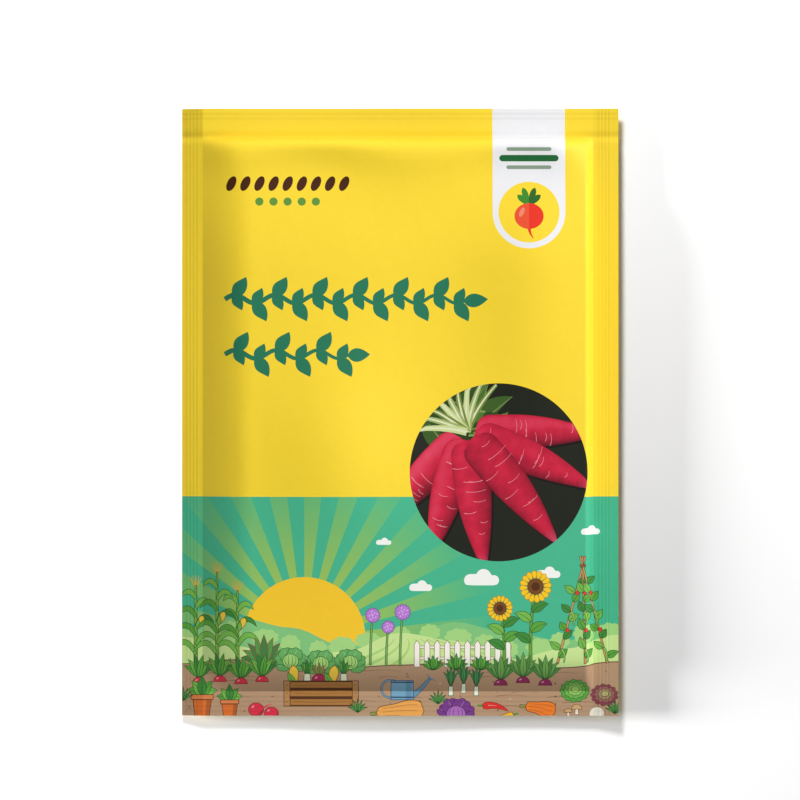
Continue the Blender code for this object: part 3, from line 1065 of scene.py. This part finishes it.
def web_blank(name, art, facing):
    """The flat web: a printed side split along the edges of its inks, a plain side, and cut edges."""
    points, edges = web_net(art)
    places, _, faces, _, _, _ = delaunay_2d_cdt(points, edges, [], 0, weld_merge, False)
    flat = np.array([complex(*p) for p in places])
    middles = np.array([flat[face].mean() for face in faces])
    owners = top_inks(art, middles)
    kept = np.flatnonzero((abs(middles.real) < half_wide) & (abs(middles.imag) < half_high))
    used = sorted({corner for k in kept for corner in faces[k]})
    number = {corner: k for k, corner in enumerate(used)}
    outer = [places[corner] for corner in used]
    printed = [[number[corner] for corner in faces[k]] for k in kept]
    at_edge = [k for k, p in enumerate(outer) if abs(p.x) > half_wide - 1e-4 or abs(p.y) > half_high - 1e-4]
    at_edge.sort(key=lambda k: math.atan2(outer[k].y / half_high, outer[k].x / half_wide))
    inner = [outer[k] for k in at_edge]
    plain_columns = web_lines(half_wide, left_seal, side_seal, 1.0)[1:-1]
    plain_rows = web_lines(half_high, bottom_seal, top_seal, 1.0)[1:-1]
    inner += [Vector((x, y)) for x in plain_columns for y in plain_rows]
    plain_places, _, plain_faces, _, _, _ = delaunay_2d_cdt(inner, [], [], 0, weld_merge, True)
    first = len(outer)
    nearest = {(round(p.x, 3), round(p.y, 3)): k for k, p in enumerate(plain_places)}
    rim = [first + nearest[(round(outer[k].x, 3), round(outer[k].y, 3))] for k in at_edge]
    verts = [(facing * p.x / 1000, p.y / 1000, facing * film_thickness / 1000) for p in outer]
    verts += [(facing * p.x / 1000, p.y / 1000, facing * 2e-6) for p in plain_places]
    polygons = printed + [[first + corner for corner in reversed(face)] for face in plain_faces]
    for k in range(len(at_edge)):
        after = (k + 1) % len(at_edge)
        polygons.append([at_edge[k], rim[k], rim[after], at_edge[after]])
    mesh = bpy.data.meshes.new(name)
    mesh.from_pydata(verts, [], polygons)
    flags = [k < len(printed) for k in range(len(polygons))]
    mesh.attributes.new("printed side", "BOOLEAN", "FACE").data.foreach_set("value", flags)
    tints = []
    for k in kept:
        colour = art.inks[owners[k]][1]
        for corner in faces[k]:
            tone = colour(flat[corner]) if callable(colour) else colour
            tints += [linear(tone[0]), linear(tone[1]), linear(tone[2]), 1.0]
    plain_tint = [linear(c) for c in laminate_ink] + [1.0]
    tints += plain_tint * (len(mesh.loops) - len(tints) // 4)
    mesh.attributes.new("ink", "FLOAT_COLOR", "CORNER").data.foreach_set("color", tints)
    lay_out(mesh, len(printed))
    print("blank", name, len(points), len(printed), len(polygons), len(art.inks))
    return mesh


def lay_out(mesh, printed_count):
    """A map for the web's colours: the printed side above, and the plain side and edges below it."""
    strip_height = 0.04
    corners = np.empty(len(mesh.loops), int)
    mesh.loops.foreach_get("vertex_index", corners)
    spots = np.empty(3 * len(mesh.vertices))
    mesh.vertices.foreach_get("co", spots)
    spots = spots.reshape(-1, 3)[corners, :2]
    spots = spots / (packet_width, packet_height) + 0.5
    printed_corners = sum(len(p.vertices) for p in mesh.polygons[:printed_count])
    spots[:printed_corners, 1] = strip_height + (1 - strip_height) * spots[:printed_corners, 1]
    spots[printed_corners:, 1] *= 0.8 * strip_height
    mesh.uv_layers.new(name="OFBake").uv.foreach_set("vector", spots.ravel())


def made(name, mesh, tree, values):
    """What a geometry node tree makes of a mesh with its inputs set, as a plain mesh at the origin."""
    piece = bpy.data.objects.new(name, mesh)
    bpy.context.scene.collection.objects.link(piece)
    lit_packet.objects.link(piece)
    making = piece.modifiers.new(tree.name, "NODES")
    making.node_group = tree
    for item in tree.interface.items_tree:
        if item.in_out == "INPUT" and item.name in values:
            making[item.identifier] = values[item.name]
    graph = bpy.context.evaluated_depsgraph_get()
    plain = bpy.data.meshes.new_from_object(piece.evaluated_get(graph))
    piece.modifiers.clear()
    piece.data = plain
    plain.name = name
    return piece


front_web = made("front_web", web_blank("front blank", front, 1), form_tree, {
    "Standoff": 3.8, "Left Reach": 9.0, "Right Reach": 1.7, "Top Reach": 26.0, "Bottom Reach": 7.0,
    "Lip": 2.1, "Swell": 1.0,
    "Film": printed_film("front film"),
})
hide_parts("front_film")
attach(front_web, "root")

back = Artwork(yellow_ink)
back_web = made("back_web", web_blank("back blank", back, -1), form_tree, {
    "Facing": -1.0, "Standoff": back_standoff, "Left Reach": 13.0, "Right Reach": 13.0,
    "Film": printed_film("back film"),
})
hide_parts("back_film")
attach(back_web, "root")


# Seeds: a pool of small round radish seeds, reddish brown and finely pitted, loose in the lower
# half of the pocket. They lie side by side on the back web, with a few more on top.
pool_low, pool_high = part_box("seeds")
pool_tree, pool, pool_exit = node_group(
    "seed pool",
    [
        ("Half Length", "NodeSocketFloat", (pool_high.x - pool_low.x) / 2 - 0.0013),
        ("Half Width", "NodeSocketFloat", (pool_high.y - pool_low.y) / 2 - 0.0013),
        ("Floor", "NodeSocketFloat", pool_low.z),
        ("Ceiling", "NodeSocketFloat", pool_high.z),
        ("Spacing", "NodeSocketFloat", 0.00254),
        ("Seed Radius", "NodeSocketFloat", 0.00131),
        ("Random Seed", "NodeSocketInt", 7),
        ("Skin", "NodeSocketMaterial", None),
    ],
    [("Seeds", "NodeSocketGeometry")],
)
pool_middle = (pool_low + pool_high) / 2
row_share = math.sin(math.radians(60))
seed_flatness = 0.93


def random_spread(low, high, number):
    """A random vector for each seed, between two corners."""
    node = put(pool_tree, "FunctionNodeRandomValue", {"Seed": pool["Random Seed"] + number}, data_type="FLOAT_VECTOR")
    node.inputs["Min"].default_value = low
    node.inputs["Max"].default_value = high
    return node.outputs["Value"]


def seed_layer(level, shift, reach, keep_share, number):
    """One layer of seeds in close-packed rows inside an oval. Only a share of them is kept."""
    spacing = pool["Spacing"]
    grid = put(pool_tree, "GeometryNodeMeshGrid", {
        "Size X": spacing * 12.0, "Size Y": spacing * (8 * row_share), "Vertices X": 13, "Vertices Y": 9,
    })
    place = put(pool_tree, "ShaderNodeSeparateXYZ", {0: put(pool_tree, "GeometryNodeInputPosition").outputs[0]})
    x, y = [Field(pool_tree, place.outputs[axis]) for axis in "XY"]
    odd_row = (y / (spacing * row_share)).math("ROUND").math("FLOORED_MODULO", 2.0)
    offset = put(pool_tree, "ShaderNodeCombineXYZ", {
        "X": spacing * shift + odd_row * spacing * 0.5 + pool_middle.x,
        "Y": spacing * (shift * 0.577) + pool_middle.y,
        "Z": level,
    })
    rows = put(pool_tree, "GeometryNodeSetPosition", {"Geometry": grid.outputs["Mesh"], "Offset": offset.outputs[0]})
    jitter = random_spread((-6e-5, -6e-5, -2e-5), (6e-5, 6e-5, 2e-5), number)
    shaken = put(pool_tree, "GeometryNodeSetPosition", {"Geometry": rows.outputs[0], "Offset": jitter})
    from_middle = (x - pool_middle.x) / pool["Half Length"], (y - pool_middle.y) / pool["Half Width"]
    outside = (from_middle[0] * from_middle[0] + from_middle[1] * from_middle[1]).math("GREATER_THAN", reach * reach)
    draw = Field(pool_tree, put(pool_tree, "ShaderNodeSeparateXYZ", {0: random_spread((0, 0, 0), (1, 1, 1), number + 1)}).outputs["X"])
    left_out = outside.over(draw.math("GREATER_THAN", keep_share))
    kept = put(pool_tree, "GeometryNodeDeleteGeometry", {"Geometry": shaken.outputs[0], "Selection": left_out}, domain="POINT")
    ball_node = put(pool_tree, "GeometryNodeMeshIcoSphere", {"Radius": pool["Seed Radius"], "Subdivisions": 4})
    oval_node = put(pool_tree, "GeometryNodeTransform", {"Geometry": ball_node.outputs["Mesh"]})
    oval_node.inputs["Scale"].default_value = (1.07, 1.0, seed_flatness)
    turned = put(pool_tree, "FunctionNodeEulerToRotation", {0: random_spread((-0.25, -0.25, 0.0), (0.25, 0.25, math.tau), number + 2)})
    return put(pool_tree, "GeometryNodeInstanceOnPoints", {
        "Points": kept.outputs[0], "Instance": oval_node.outputs[0], "Rotation": turned.outputs[0],
        "Scale": random_spread((0.94, 0.94, 0.94), (1.03, 1.03, 1.03), number + 3),
    })


lower_level = pool["Floor"] + pool["Seed Radius"] * seed_flatness
upper_level = pool["Ceiling"] - pool["Seed Radius"] * seed_flatness
layers = put(pool_tree, "GeometryNodeJoinGeometry")
for layer in (seed_layer(upper_level, 0.5, 0.6, 0.3, 20), seed_layer(lower_level, 0.0, 1.0, 1.0, 10)):
    pool_tree.links.new(layer.outputs[0], layers.inputs[0])
loose = put(pool_tree, "GeometryNodeRealizeInstances", {"Geometry": layers.outputs[0]})
dimples = put(pool_tree, "ShaderNodeTexNoise", {"Scale": 900.0, "Detail": 2.0})
depth = (Field(pool_tree, dimples.outputs["Fac"]) - 0.5) * 0.0003
outwards = put(pool_tree, "ShaderNodeVectorMath", {0: put(pool_tree, "GeometryNodeInputNormal").outputs[0], "Scale": depth}, operation="SCALE")
dimpled = put(pool_tree, "GeometryNodeSetPosition", {"Geometry": loose.outputs[0], "Offset": outwards.outputs[0]})
rounded = put(pool_tree, "GeometryNodeSetShadeSmooth", {0: dimpled.outputs[0]})
skinned = put(pool_tree, "GeometryNodeSetMaterial", {"Geometry": rounded.outputs[0], "Material": pool["Skin"]})
pool_tree.links.new(skinned.outputs[0], pool_exit.inputs["Seeds"])

seed_skin = bpy.data.materials.new("seed skin")
seed_skin.use_nodes = True
skin_tree = seed_skin.node_tree
skin_shader = skin_tree.nodes["Principled BSDF"]
skin_place = put(skin_tree, "ShaderNodeTexCoord").outputs["Object"]
skin_patches = put(skin_tree, "ShaderNodeTexNoise", {"Vector": skin_place, "Scale": 420.0, "Detail": 4.0})
skin_pits = put(skin_tree, "ShaderNodeTexVoronoi", {"Vector": skin_place, "Scale": 4200.0})
# The skin's colour is also darker in its pits, as painted shade.
skin_tone = put(skin_tree, "ShaderNodeValToRGB", {
    0: Field(skin_tree, skin_patches.outputs["Fac"]) * 0.8 + Field(skin_tree, skin_pits.outputs["Distance"]) * 0.3,
})
skin_tone.color_ramp.elements[0].position = 0.3
skin_tone.color_ramp.elements[0].color = (0.105, 0.028, 0.014, 1.0)
skin_tone.color_ramp.elements[1].position = 0.75
skin_tone.color_ramp.elements[1].color = (0.42, 0.17, 0.075, 1.0)
skin_tree.links.new(skin_tone.outputs["Color"], skin_shader.inputs["Base Color"])
skin_shader.inputs["Roughness"].default_value = 0.62
skin_bump = put(skin_tree, "ShaderNodeBump", {"Height": skin_pits.outputs["Distance"], "Strength": 0.5, "Distance": 0.0001})
skin_tree.links.new(skin_bump.outputs["Normal"], skin_shader.inputs["Normal"])

loose_seeds = made("loose_seeds", bpy.data.meshes.new("pool start"), pool_tree, {"Skin": seed_skin})
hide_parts("seeds")
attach(loose_seeds, "root")
print("seeds", len(loose_seeds.data.polygons), [tuple(round(1000 * v, 2) for v in c) for c in (
    np.array([v.co for v in loose_seeds.data.vertices]).min(axis=0), np.array([v.co for v in loose_seeds.data.vertices]).max(axis=0))])
